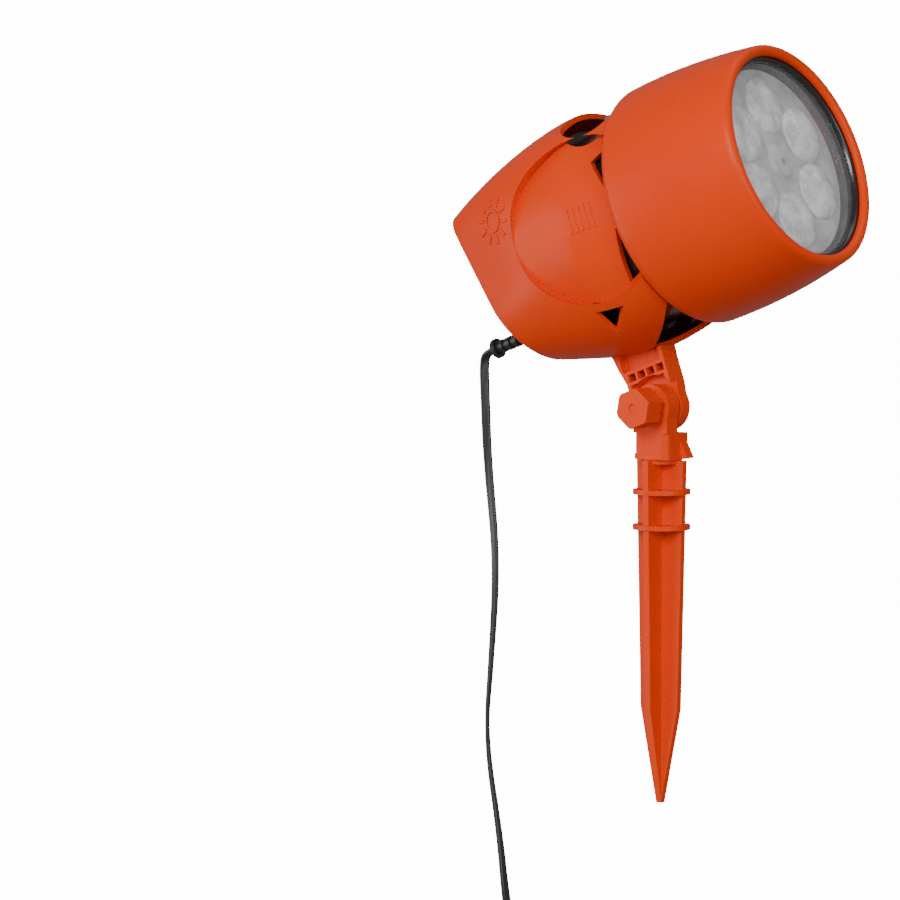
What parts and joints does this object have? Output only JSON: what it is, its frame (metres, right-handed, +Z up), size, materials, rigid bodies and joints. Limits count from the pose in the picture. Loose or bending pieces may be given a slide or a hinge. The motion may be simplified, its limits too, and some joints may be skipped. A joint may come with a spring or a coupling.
{
  "type": "light projector stake",
  "caption": "Tilting garden light projector head on a ground stake, with a slide slot on top, a rotating lens and a lead with a plug.",
  "frame": {"origin": "on the stake's axis at the ground line, the underside of the lower round collar", "axes": "+Z up along the stake, +X the way the lamp head points, -Y the side of the tension knob"},
  "size_m": [0.1893, 0.1154, 0.4198],
  "materials": {
    "front_hood": "moulded satin orange",
    "rear_shell": "moulded satin orange",
    "neck_bracket": "moulded satin orange",
    "tension_knob": "moulded satin orange",
    "stake_head": "moulded satin orange",
    "ground_stake": "moulded satin orange",
    "lens_ring": "gloss black moulding",
    "inner_barrel": "gloss black moulding",
    "gate_frame": "gloss black moulding",
    "slide_cartridge": "gloss black moulding",
    "cover_clamp": "gloss black moulding",
    "lens_plate": "gloss black moulding",
    "motor_bracket": "gloss black moulding",
    "front_cover": "clear",
    "spinning_lens": "clear moulded lens",
    "projection_lenses": "clear",
    "collimators": "clear moulded",
    "slide_windows": "tinted film",
    "clamp_screws": "zinc",
    "board_screws": "zinc",
    "spin_shaft": "ground",
    "spin_motor": "drawn can",
    "leds": "phosphor",
    "led_board": "white board",
    "heat_sink": "cast",
    "driver_board": "green board",
    "driver_parts": "components",
    "hinge_bolt": "zinc",
    "hinge_washer": "friction washer",
    "knob_insert": "turned",
    "strain_relief": "moulded",
    "cord_lead": "twin flex",
    "cord_coil": "twin flex",
    "cord_tie": "twist tie",
    "plug_body": "moulded",
    "plug_blades": "bright"
  },
  "bodies": {
    "stake": {"ground_stake": "ground_stake", "stake_head": "stake_head", "hinge_washer": "hinge_washer", "cord_lead": "cord_lead", "cord_coil": "cord_coil", "cord_tie": "cord_tie", "plug_body": "plug_body", "plug_blades": "plug_blades"},
    "head": {"front_hood": "front_hood", "lens_ring": "lens_ring", "front_cover": "front_cover", "cover_clamp": "cover_clamp", "clamp_screws": "clamp_screws", "rear_shell": "rear_shell", "inner_barrel": "inner_barrel", "gate_frame": "gate_frame", "lens_plate": "lens_plate", "projection_lenses": "projection_lenses", "spin_motor": "spin_motor", "motor_bracket": "motor_bracket", "collimators": "collimators", "leds": "leds", "led_board": "led_board", "heat_sink": "heat_sink", "board_screws": "board_screws", "driver_board": "driver_board", "driver_parts": "driver_parts", "neck_bracket": "neck_bracket", "hinge_bolt": "hinge_bolt", "strain_relief": "strain_relief"},
    "rotor": {"spinning_lens": "spinning_lens", "spin_shaft": "spin_shaft"},
    "slide": {"slide_cartridge": "slide_cartridge", "slide_windows": "slide_windows"},
    "knob": {"tension_knob": "tension_knob", "knob_insert": "knob_insert"}
  },
  "joints": [
    {"name": "head_tilt", "type": "hinge", "parent": "stake", "child": "head", "pos_m": [0, 0, 0.0538], "axis": [0, -1, 0], "range_deg": [-45, 60], "deforming": ["cord_lead"]},
    {"name": "lens_spin", "type": "hinge", "parent": "head", "child": "rotor", "pos_m": [0.05913, 0, 0.15903], "axis": [0.9421, 0, 0.3355], "continuous": true},
    {"name": "slide_pull", "type": "slide", "parent": "head", "child": "slide", "axis": [-0.3355, 0, 0.9421], "range_m": [0, 0.09]},
    {"name": "knob_turn", "type": "hinge", "parent": "head", "child": "knob", "pos_m": [0, 0, 0.0538], "axis": [0, -1, 0], "range_deg": [0, 360]}
  ]
}
